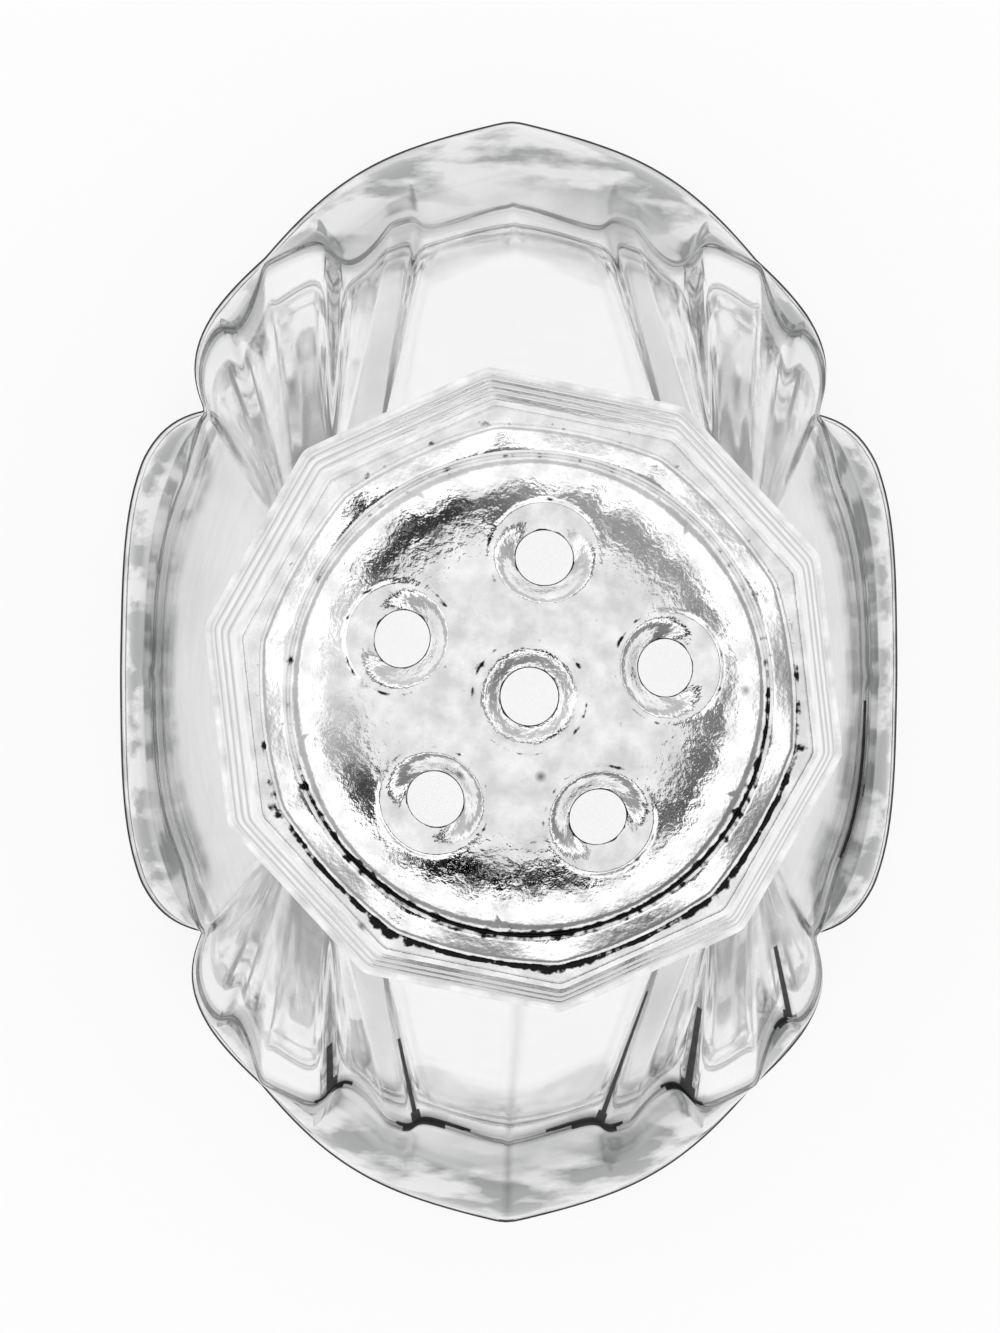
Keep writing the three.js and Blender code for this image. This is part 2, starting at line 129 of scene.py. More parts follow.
# Glass body. Plan points are for the quarter from the pointed end (+Y) to the side (+X). Facets run along the
# foot's outline: width there (None takes what is left), head in degrees on the shoulder, ledges at both
# ends, grey painted shade, painted shade in the groove as (share of width, shade), and painted shade on the
# riser before it as (shade, fade upwards).
_, glassHigh = nodeBox("glass_body")
glass = {
    "pleat": (15.85, 26.7), "notch": (19.7, 16.8), "planPoints": 801,
    "tipSlope": 13, "tipPull": 8.0, "pleatEndSlope": 50, "pleatEndPull": 7.5,
    "pleatLobeSlope": 42, "pleatLobePull": 4.4, "notchLobeSlope": 117, "notchLobePull": 4.4,
    "notchSideSlope": 9, "notchSidePull": 5.6, "sideSlope": 89, "sidePull": 8.5,
    "facets": [
        {"curve": "end", "width": 7.0, "head": 30.0, "columns": 14, "ledges": (5.9, 5.9), "greyShade": 0.05,
         "shade": [(0.15, 0.4), (0.6, 0.75), (1.0, 1.0)]},
        {"curve": "end", "width": 1.6, "head": 9.0, "columns": 8, "ledges": (4.9, 4.7), "greyShade": 0.9,
         "shade": [(0.0, 1.0), (1.0, 0.55)], "line": (1.25, 0.45)},
        {"curve": "end", "width": None, "head": 1.5, "columns": 12, "ledges": (4.7, 5.0), "greyShade": 0.1,
         "scoop": 0.4, "shade": [(0.3, 0.0), (0.9, 1.0)]},
        {"curve": "end", "width": 4.2, "head": 9.0, "columns": 12, "ledges": (2.5, 0.9), "greyShade": 0.25,
         "shade": [(0.0, 0.8), (0.5, 0.0)], "line": (1.35, 0.9)},
        {"curve": "lobe", "width": 4.0, "head": 1.5, "columns": 12, "ledges": (0.9, 2.6), "greyShade": 0.3,
         "scoop": 0.3, "shade": [(0.4, 0.0), (0.95, 1.0)]},
        {"curve": "lobe", "width": None, "head": 2.0, "columns": 14, "ledges": (1.3, 0.8), "greyShade": 0.55,
         "bowed": True, "line": (1.3, 0.9)},
        {"curve": "side", "width": 4.6, "head": 3.0, "columns": 10, "ledges": (0.8, 3.4), "greyShade": 0.8,
         "line": (0.15, 0.5)},
        {"curve": "side", "width": None, "head": None, "columns": 16, "ledges": (3.4, 2.6), "greyShade": 0.85,
         "bowed": True, "shade": [(0.0, 0.8), (0.5, 1.1), (1.0, 1.0)]},
    ],
    "riserWidth": 0.5, "riserHead": 0.8, "riserColumns": 5, "lineSharpness": 3,
    "footSoft": 2, "wallSoft": 10, "shadeSoft": 2, "cloudSoft": 6, "runOut": 40, "runOutFrom": (41, 46),
    "footHeight": 8.0, "footBevel": 1.4, "footDraft": 0.45, "ledgeRise": 5.4,
    "ledgeBends": (22.5, 45.0, 67.5), "grooveWidth": 0.3, "grooveDepth": 0.25, "seamRise": 0.12,
    "rimSeam": 0.13, "rimSeamZ": 6.2, "rimSeamHeight": 0.08,
    "standWidth": 4.2, "puntSlope": 1.2, "puntDepth": 1.1, "poleShare": 0.02,
    "shoulderZ": 57.5, "shoulderRadius": 16.4, "shoulderRise": 1.6, "shoulderRound": 1.0,
    "neckRadius": 12.3, "neckFillet": 0.7, "neckWall": 2.5, "rimRound": 0.7,
    "wall": 3.0, "floorZ": 8.0, "floorRound": 4.5, "floorBend": 0.3, "hollowTopWall": 4.0, "hollowSlope": 6.0,
    "rounding": {
        "punt": 0.8, "standInside": 0.5, "standOutside": 0.8, "bevel": 1.0,
        "seamBelow": 0.2, "seam": 0.1, "seamAbove": 0.2, "footTop": 1.6,
        "ledge0": 1.2, "ledge1": 1.2, "ledge2": 1.0, "lip": 0.15, "groove": 0.25,
        "shoulder": 0.8, "shoulderTop": 0.6, "neckFillet": 0.8, "neckFoot": 0.5, "neck": 0.5,
        "rimOutside": 0.5, "rimInside": 0.5, "boreTop": 0.5, "boreFoot": 3.0,
        "hollowTop": 4.0, "hollowFoot": 4.0, "hollowBend": 3.0, "floor": 4.0,
    },
    "straightRows": {"punt": 2, "lip": 4, "shoulder": 18, "neck": 30, "hollowTop": 3, "hollowFoot": 6},
    "roundSteps": 3,
    # painted shade: dark lines in the groove, down the -Y end and round the foot's seam, darker towards one
    # corner; grey painted shade in the foot
    "grooveShade": (0.0, 0.75, 1.0, 0.0), "seamShade": 0.45, "seamFootShade": 0.58, "rimSeamShade": 1.0,
    "dirtyWay": (0.5, -1.0), "dirtyReach": 30.0, "cleanShare": 0.3, "grimeLimit": 0.6, "footCloud": 1.0,
}
thread = {"lead": 4.0, "turns": 1.25, "height": 1.0, "foot": 2.2, "crest": 1.4, "start": 21.0, "fade": 30.0}


# A plan curve that leaves one point at a slope and pull and arrives at the next with another: the cubic
# (1-t)^3 a + 3t(1-t)^2 b + 3t^2(1-t) c + t^3 d, returned as points along it and the length up to each
def planCurve(count, start, startSlope, startPull, end, endSlope, endPull):
    slope = np.radians([-startSlope, -endSlope])
    a, d = np.array(start, float), np.array(end, float)
    b = a + startPull * np.array([np.cos(slope[0]), np.sin(slope[0])])
    c = d - endPull * np.array([np.cos(slope[1]), np.sin(slope[1])])
    t = np.linspace(0.0, 1.0, count)[:, None]
    points = (1 - t) ** 3 * a + 3 * t * (1 - t) ** 2 * b + 3 * t ** 2 * (1 - t) * c + t ** 3 * d
    lengths = np.concatenate([[0.0], np.cumsum(np.linalg.norm(np.diff(points, axis=0), axis=1))])
    return points, lengths


# The points of a plan curve at given lengths along it
def pointsAlong(curve, places):
    points, lengths = curve
    return np.stack([np.interp(places, lengths, points[:, i]) for i in range(2)], axis=-1)


# Plan points moved towards the axis by a distance
def inset(points, distance):
    reach = np.linalg.norm(points, axis=-1, keepdims=True)
    return points * (1.0 - np.reshape(distance, (-1, 1)) / reach)


# Stations of the quarter: outline and wall's foot (x and y each), head angle, painted shade on the riser and
# in the groove, grey painted shade, and the fade of the riser's painted shade. Facets stand on the straight
# line between their ends, scooped by a sine where they are flutes; bowed ones follow the outline, and their
# ledge settles to the width at the far end by 2s - s^2; risers join them.
def quarterStations(g):
    tip, side = (0.0, glassHigh[1]), (glassHigh[0], 0.0)
    ends = {
        "end": (tip, g.tipSlope, g.tipPull, g.pleat, g.pleatEndSlope, g.pleatEndPull),
        "lobe": (g.pleat, g.pleatLobeSlope, g.pleatLobePull,
                 g.notch, g.notchLobeSlope, g.notchLobePull),
        "side": (g.notch, g.notchSideSlope, g.notchSidePull, side, g.sideSlope, g.sidePull),
    }
    curves = {name: planCurve(g.planPoints, *given) for name, given in ends.items()}
    riser, riserHead, facets = g.riserWidth, g.riserHead, g.facets
    spareHead = 90.0 - sum(facet["head"] or 0.0 for facet in facets) - riserHead * (len(facets) - 1)
    between = np.linspace(0.0, 1.0, g.riserColumns + 2)[1:-1]
    stations, before, place, angle, current = [], None, 0.0, 0.0, "end"
    for facet in facets:
        if facet["curve"] != current:
            current, place = facet["curve"], riser
        curve = curves[current]
        own = [other for other in facets if other["curve"] == current]
        steps = len(own) - 1 if current == "end" else len(own)
        spareWidth = curve[1][-1] - sum(other["width"] or 0.0 for other in own) - steps * riser
        width, head = facet["width"] or spareWidth, facet["head"] or spareHead
        share = np.linspace(0.0, 1.0, facet["columns"] + 1)
        outline = pointsAlong(curve, place + width * share)
        near, far = facet["ledges"]
        feet = inset(outline[[0, -1]], np.array([near, far]))
        wall = feet[0] + (feet[1] - feet[0]) * share[:, None]
        if facet.get("bowed"):
            wall = inset(outline, near + (far - near) * (share * (2.0 - share)))
        wall = inset(wall, facet.get("scoop", 0.0) * np.sin(np.pi * share))
        stops = np.array(facet.get("shade", [(0.0, 0.0)]))
        shade = np.interp(share, stops[:, 0], stops[:, 1])
        greyShade = np.full(len(share), facet["greyShade"])
        if before is not None:
            line, fade = facet.get("line", (0.0, 1.0))
            stations.append(np.column_stack([
                pointsAlong(curve, place - riser + riser * between),
                before[0] + (wall[0] - before[0]) * between[:, None],
                angle - riserHead + riserHead * between,
                line * np.sin(np.pi * between) ** g.lineSharpness,
                np.interp(between, [0.0, 1.0], [before[1], shade[0]]),
                np.interp(between, [0.0, 1.0], [before[2], greyShade[0]]),
                np.full(len(between), fade),
            ]))
        stations.append(np.column_stack([
            outline, wall, angle + head * share, np.zeros(len(share)), shade, greyShade, np.ones(len(share)),
        ]))
        before = (wall[-1], shade[-1], greyShade[-1])
        angle += head + riserHead
        place += width + riser
    table = np.concatenate(stations)
    return table[:, 0:2], table[:, 2:4], *table[:, 4:].T


# A full turn, anticlockwise from +X, of what is known for the quarter, which runs from +Y to +X
def fullTurn(quarter, mirrorX=1, mirrorY=1):
    first = quarter[::-1]
    half = np.concatenate([first, first[-2::-1] * mirrorX])
    return np.concatenate([half, half[-2:0:-1] * mirrorY])


# Weighted mean of each row with its two neighbours, a few times over: rounds the corners of a wall's plan
def softened(points, times):
    for _ in range(times):
        points = 0.25 * np.roll(points, 1, axis=0) + 0.5 * points + 0.25 * np.roll(points, -1, axis=0)
    return points


# Flutes that run out upwards: the same weighted mean along each row, taken more often, the higher the row's
# share, and only where a column's weight is more than 0
def runOut(rows, share, columnWeight, times):
    for step in range(times):
        weight = 0.5 * (share > step / times)[:, None, None] * columnWeight[None, :, None]
        rows = rows + weight * (0.5 * (np.roll(rows, 1, axis=1) + np.roll(rows, -1, axis=1)) - rows)
    return rows


# Height of a helical ridge over its wall at angles (columns) and heights z (rows): the helix climbs one lead
# a turn, its section is a trapezoid with eased flanks, and it fades out at both ends
def threadRise(t, angles, z, baseZ, startAngle):
    share = ((angles - np.radians(startAngle)) / (2 * np.pi)) % 1.0
    rise = np.zeros(z.shape)
    whole = t["turns"] * 360.0
    for lap in range(int(math.ceil(t["turns"])) + 1):
        turned = (share + lap) * 360.0
        off = np.abs(z - (baseZ + t["lead"] * (share + lap)))
        section = 1.0 - ease(off, t["crest"] / 2, t["foot"] / 2)
        fade = ease(turned, 0.0, t["fade"]) * (1.0 - ease(turned, whole - t["fade"], whole))
        rise = np.maximum(rise, t["height"] * section * fade)
    return rise


# The closed skin of the glass: a profile from the underside's middle, round the foot, up the fluted wall,
# over the threaded neck and down the hollow to the floor's middle, carried round the plan
def makeGlassBody(g):
    outline, wall, head, line, groovePaintedShade, greyShade, fade = quarterStations(g)
    flipX, flipY = np.array([-1, 1]), np.array([1, -1])
    footPlan = softened(fullTurn(outline, flipX, flipY), g.footSoft)
    wallPlan = softened(fullTurn(wall, flipX, flipY), g.wallSoft)
    headWay = np.radians(90.0 - head)
    headPlan = fullTurn(np.column_stack([np.cos(headWay), np.sin(headWay)]), flipX, flipY)
    headAngle = np.arctan2(headPlan[:, 1], headPlan[:, 0])
    line, fade = fullTurn(line)[None], fullTurn(fade)[None]
    groovePaintedShade = softened(fullTurn(groovePaintedShade), g.shadeSoft)[None]
    greyShade = softened(fullTurn(greyShade), g.cloudSoft)[None]
    # mould seams stand proud on the four axes, one column wide
    onSeam = np.isclose(np.abs(headPlan).min(axis=1), 0.0, atol=1e-6)
    wallPlan = inset(wallPlan, np.where(onSeam, -g.seamRise, 0.0))

    rimZ, shoulderZ = glassHigh[2], g.shoulderZ
    neckBaseZ = shoulderZ + g.shoulderRise
    wallBaseZ = g.footHeight + g.ledgeRise
    neckRadius, boreRadius = g.neckRadius, g.neckRadius - g.neckWall

    # half sizes of the hollow: the wall's proportions, less the glass wall at its thinnest place
    halfX, halfY = np.linalg.norm(wall[-1]) - g.wall, np.linalg.norm(wall[0]) - g.wall
    reach = np.hypot(wall[:, 0] / halfX, wall[:, 1] / halfY)
    fit = min(1.0, float(((1 - g.wall / np.linalg.norm(wall, axis=1)) * reach).min()))
    halfX, halfY = halfX * fit, halfY * fit

    # A plan raised to a height
    def at(plan, z):
        return np.column_stack([plan, np.full(len(plan), z)])

    # A circle, the head's directions times a radius
    def around(radius, z):
        return at(headPlan * radius, z)

    # An ellipse, the head's directions times the half sizes of the hollow less a distance
    def hollow(less, z):
        return at(headPlan * (halfX - less, halfY - less), z)

    lipPlan = inset(wallPlan, -g.grooveWidth)
    topPlan = inset(footPlan, g.footDraft)
    seamPlan = inset(footPlan, g.rimSeam)
    puntPlan = inset(footPlan, g.standWidth + g.puntSlope)
    floorZ, floorRound, floorBend = g.floorZ, g.floorRound, g.floorRound * g.floorBend
    profile = {
        "underside": at(puntPlan * g.poleShare, g.puntDepth),
        "punt": at(puntPlan, g.puntDepth),
        "standInside": at(inset(footPlan, g.standWidth), 0.0),
        "standOutside": at(inset(footPlan, g.footBevel), 0.0),
        "bevel": at(topPlan, g.footBevel),
        "seamBelow": at(seamPlan, g.rimSeamZ - g.rimSeamHeight),
        "seam": at(footPlan, g.rimSeamZ),
        "seamAbove": at(seamPlan, g.rimSeamZ + g.rimSeamHeight),
        "footTop": at(topPlan, g.footHeight),
    }
    for i, bend in enumerate(np.radians(g.ledgeBends)):  # the ledge is a quarter of an ellipse
        ledgePlan = topPlan + (lipPlan - topPlan) * (1 - np.cos(bend))
        profile["ledge" + str(i)] = at(ledgePlan, g.footHeight + g.ledgeRise * np.sin(bend))
    profile.update({
        "lip": at(lipPlan, wallBaseZ),
        "groove": at(wallPlan, wallBaseZ - g.grooveDepth),
        "shoulder": around(g.shoulderRadius, shoulderZ),
        "shoulderTop": around(g.shoulderRadius - g.shoulderRound, shoulderZ + g.shoulderRound),
        "neckFillet": around(neckRadius + g.neckFillet, neckBaseZ),
        "neckFoot": around(neckRadius, neckBaseZ + g.neckFillet),
        "neck": around(neckRadius, rimZ - g.rimRound),
        "rimOutside": around(neckRadius - g.rimRound, rimZ),
        "rimInside": around(boreRadius + g.rimRound, rimZ),
        "boreTop": around(boreRadius, rimZ - g.rimRound),
        "boreFoot": around(boreRadius, neckBaseZ),
        "hollowTop": around(g.shoulderRadius - g.hollowTopWall, neckBaseZ - g.hollowSlope),
        "hollowFoot": hollow(0.0, floorZ + floorRound),
        "hollowBend": hollow(floorBend, floorZ + floorBend),
        "floor": hollow(floorRound, floorZ),
        "middle": at(headPlan * (halfX * g.poleShare, halfY * g.poleShare), floorZ),
    })
    number = list(profile).index
    grid, owners = roundedRows(profile, g.rounding, g.straightRows, g.roundSteps)
    isWall = (owners > number("groove")) & (owners < number("shoulder"))
    fromEnd = np.degrees(np.arcsin(np.abs(headPlan[:, 0])))
    upShare = np.linspace(0.0, 1.0, isWall.sum())
    grid[isWall] = runOut(grid[isWall], upShare, ease(fromEnd, *g.runOutFrom), g.runOut)
    threadBaseZ = neckBaseZ + (rimZ - neckBaseZ - thread["turns"] * thread["lead"]) / 2
    rise = threadRise(thread, headAngle[None, :], grid[..., 2], threadBaseZ, thread["start"])
    onNeck = (owners > number("neckFoot")) & (owners <= number("neck"))
    reachNow = np.maximum(np.linalg.norm(grid[..., :2], axis=-1), 1e-6)
    grid[..., :2] *= (1.0 + np.where(onNeck[:, None], rise, 0.0) / reachNow)[..., None]

    # painted shade as dark lines: along the risers, fading towards the shoulder, in the groove at the wall's
    # foot, down the middle of the -Y end, all darker towards one corner, and a dark outline on the mould seam
    # round the foot
    upWall = np.clip((grid[..., 2] - wallBaseZ) / (shoulderZ - wallBaseZ), 0.0, 1.0)
    onWall = isWall[:, None]
    onLedge = ((owners > number("seamAbove")) & (owners < number("groove")))[:, None]
    onRim = (np.abs(owners - number("seam")) <= 1)[:, None]
    grooveStops = [number("lip") - 0.5, number("lip"), number("groove"), number("groove") + 0.5]
    inGroove = np.interp(owners, grooveStops, g.grooveShade)[:, None]
    endSeam = (onSeam & (headPlan[:, 1] < -0.5))[None]
    shade = np.where(onWall, line * (1.0 - fade * upWall), 0.0)
    shade = np.maximum(shade, inGroove * groovePaintedShade)
    shade = np.maximum(shade, np.where(endSeam & onWall, g.seamShade, 0.0))
    shade = np.maximum(shade, np.where(endSeam & onLedge, g.seamFootShade, 0.0))
    shadedSide = ease(grid[..., :2] @ np.array(g.dirtyWay), 0.0, g.dirtyReach)
    shade = np.minimum(shade * (g.cleanShare + (1.0 - g.cleanShare) * shadedSide), 1.0)
    shade = np.maximum(shade, np.where(onRim, g.rimSeamShade, 0.0))
    # grey painted shade: most in the thick foot and its ledge, less on the wall, by facet, and none inside
    onFoot = ((owners > number("punt") + 0.5) & (owners <= number("groove")))[:, None]
    greyShaded = np.where(onFoot, g.footCloud, np.where(onWall, greyShade, 0.0))

    numbers = gridNumbers(grid)
    count = numbers.size
    points = np.concatenate([grid.reshape(-1, 3), [[0, 0, g.puntDepth], [0, 0, floorZ]]])
    poles = poleFaces(count, numbers[0], True) + poleFaces(count + 1, numbers[-1], False)
    faces = gridFaces(numbers) + poles
    piece = meshPiece("glass_shaker_body", points, faces)
    # faces whose four corners carry strong painted shade on average take the second, near-black finish
    pairs = shade + np.roll(shade, -1, axis=1)
    finish = np.zeros(len(faces), dtype=np.int32)
    finish[:-len(poles)] = ((pairs[:-1] + pairs[1:]) / 4 > g.grimeLimit).ravel()
    piece.data.polygons.foreach_set("material_index", finish)
    pointValues(piece, "creaseShade", np.concatenate([shade.ravel(), [0.0, 0.0]]))
    pointValues(piece, "cloudShade", np.concatenate([greyShaded.ravel(), [0.0, 0.0]]))
    print("glass body", grid.shape, "rows and columns, hollow", round(halfX, 2), round(halfY, 2))
    return piece


glassBody = makeGlassBody(named(glass))
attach(glassBody, "glass")
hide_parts("glass_body")

# Chromed cap. Rounding and rows are by the profile's corners, and the painted shade in the creases by their
# numbers.
capLow, _ = nodeBox("cap_shell")
cap = {
    "sides": 10, "corner": 96.8, "columnsPerSide": 24, "crowding": 0.6, "cornerRound": 0.012,
    "topCorner": 16.245, "flare": 2.0, "lipHeight": 0.8, "lipProud": 0.25, "lipTuck": 0.1, "skirtEase": 0.05,
    "topZ": 73.1, "topEdge": 0.35, "beads": (3.2, 6.2, 9.2), "beadStep": 0.1, "beadHeight": 0.5,
    "crease2Radius": 14.85, "crease1Radius": 12.95, "crease1Z": 74.1, "creaseDepth": 0.3,
    "creaseWidth": 0.2, "creaseStep": 0.15, "bandTuck": 0.1, "bandFacet": 0.4, "domeRadius": 25.0,
    "sheet": 0.55, "weld": 0.02,
    "rounding": {
        "lip": 0.2, "lipTop": 0.2, "skirtFoot": 0.15, "skirtTop": 0.3, "topEdge": 0.15,
        "crease2": 0.12, "band": 0.15, "bandTop": 0.12, "crease1": 0.08,
    },
    "straightRows": {"skirtTop": 60, "bandTop": 4}, "roundSteps": 4,
    "holeCount": 5, "holeRing": 7.85, "holeStart": 84.0, "holeRadius": 1.57,
    "holeRows": 24, "spokePoints": 15, "pentagonPoints": 17,
    "dimpleRadius": 2.57, "dimpleDepth": 0.9, "dimpleRound": 0.35, "beadRise": 0.035, "beadWidth": 0.22,
    # painted shade: dark reflections in the creases, at the holes' rims and round the dimples, stronger
    # towards one way
    "creaseGrime": [(5.5, 0.0), (6, 0.85), (6.5, 0.4), (7, 0.0), (7.5, 0.0),
                    (8, 0.5), (8.5, 0.9), (9, 1.05), (9.5, 1.05), (10, 0.8)],
    "grimeWay": -80.0, "grimeLeast": 0.3, "grimeSpread": (-0.2, 0.7),
    "rimGrime": 0.85, "rimGrimeWidth": 0.15, "dimpleGrime": 0.42, "dimpleGrimeWidth": 0.1,
    "hammerEdge": (8.8, 10.2), "hammerLeast": 0.3, "lineHeight": 0.25,
}


# Column angles round the cap, in radians: columnsPerSide a side, crowded towards the corners by
# s - crowding * sin(2 pi s) / (2 pi)
def capAngles(c):
    s = np.arange(c.columnsPerSide) / c.columnsPerSide
    warped = s - c.crowding * np.sin(2 * np.pi * s) / (2 * np.pi)
    turns = (np.arange(c.sides)[:, None] + warped[None, :]) / c.sides
    return np.radians(c.corner) + 2 * np.pi * turns.ravel()


# How far a ten-sided outline lies inside its corner circle at each angle, 1 at a corner: cos(half) /
# cos(past - half), with the corner rounded by the square root of its square and a small one
def flatShare(c, angles):
    half, soft = np.pi / c.sides, c.cornerRound
    past = np.mod(angles - np.radians(c.corner), 2 * half) - half
    softPast = np.sqrt(half ** 2 + soft ** 2) - np.sqrt((half - np.abs(past)) ** 2 + soft ** 2)
    return np.cos(half) / np.cos(softPast)


# A ring of the cap at a height: round for facet 0, ten-sided for facet 1
def capRing(c, angles, z, corner, facet):
    radius = corner * (1.0 + facet * (flatShare(c, angles) - 1.0))
    return np.column_stack([radius * np.cos(angles), radius * np.sin(angles), np.full(len(angles), z)])


# The dome round one hole: rays run out from the hole's rim in the plane that touches the dome there, and
# each point drops to the sphere, sqrt(R^2 - rho^2) - R, and by the dimple, which eases from its depth at the
# rim to 0 and has a low bead round it, a bell curve of rho. Also returns painted shade: a dark ring at the
# rim and a dark line round the bead.
def holeCell(c, centreZ, reach, angle, boundary):
    tilt, turn = math.asin(reach / c.domeRadius), math.radians(angle)
    outward, upward = np.array([math.cos(turn), math.sin(turn), 0.0]), np.array([0.0, 0.0, 1.0])
    normal = outward * math.sin(tilt) + upward * math.cos(tilt)
    slope = outward * math.cos(tilt) - upward * math.sin(tilt)
    across = np.cross(normal, slope)
    origin = upward * centreZ + normal * c.domeRadius
    a, b = (boundary - origin) @ slope, (boundary - origin) @ across
    edge = np.hypot(a, b)
    dimpleEdge = c.dimpleRadius + c.dimpleRound
    beadEdge = dimpleEdge + 2 * c.beadWidth
    inner = c.holeRadius + (beadEdge - c.holeRadius) * np.linspace(0.0, 1.0, c.holeRows)[:, None]
    outer = np.linspace(0.0, 1.0, c.holeRows // 3)[1:, None]
    rho = np.concatenate([np.repeat(inner, len(edge), axis=1), beadEdge + (edge - beadEdge)[None] * outer])
    fall = 1.0 - ease(rho, c.holeRadius - c.dimpleRound, dimpleEdge)
    bead = c.beadRise * np.exp(-((rho - dimpleEdge) / c.beadWidth) ** 2)
    drop = np.sqrt(c.domeRadius ** 2 - rho ** 2) - c.domeRadius - c.dimpleDepth * fall + bead
    share = rho / edge[None]
    points = origin + (a * share)[..., None] * slope + (b * share)[..., None] * across
    points = points + drop[..., None] * normal
    # painted shade: dark at the hole's rim and in a thin line round the dimple's bead
    onRim = c.rimGrime * (1.0 - ease(rho, c.holeRadius, c.holeRadius + c.rimGrimeWidth))
    onEdge = c.dimpleGrime * np.exp(-((rho - beadEdge + c.beadWidth) / c.dimpleGrimeWidth) ** 2)
    return points, np.maximum(onRim, onEdge)


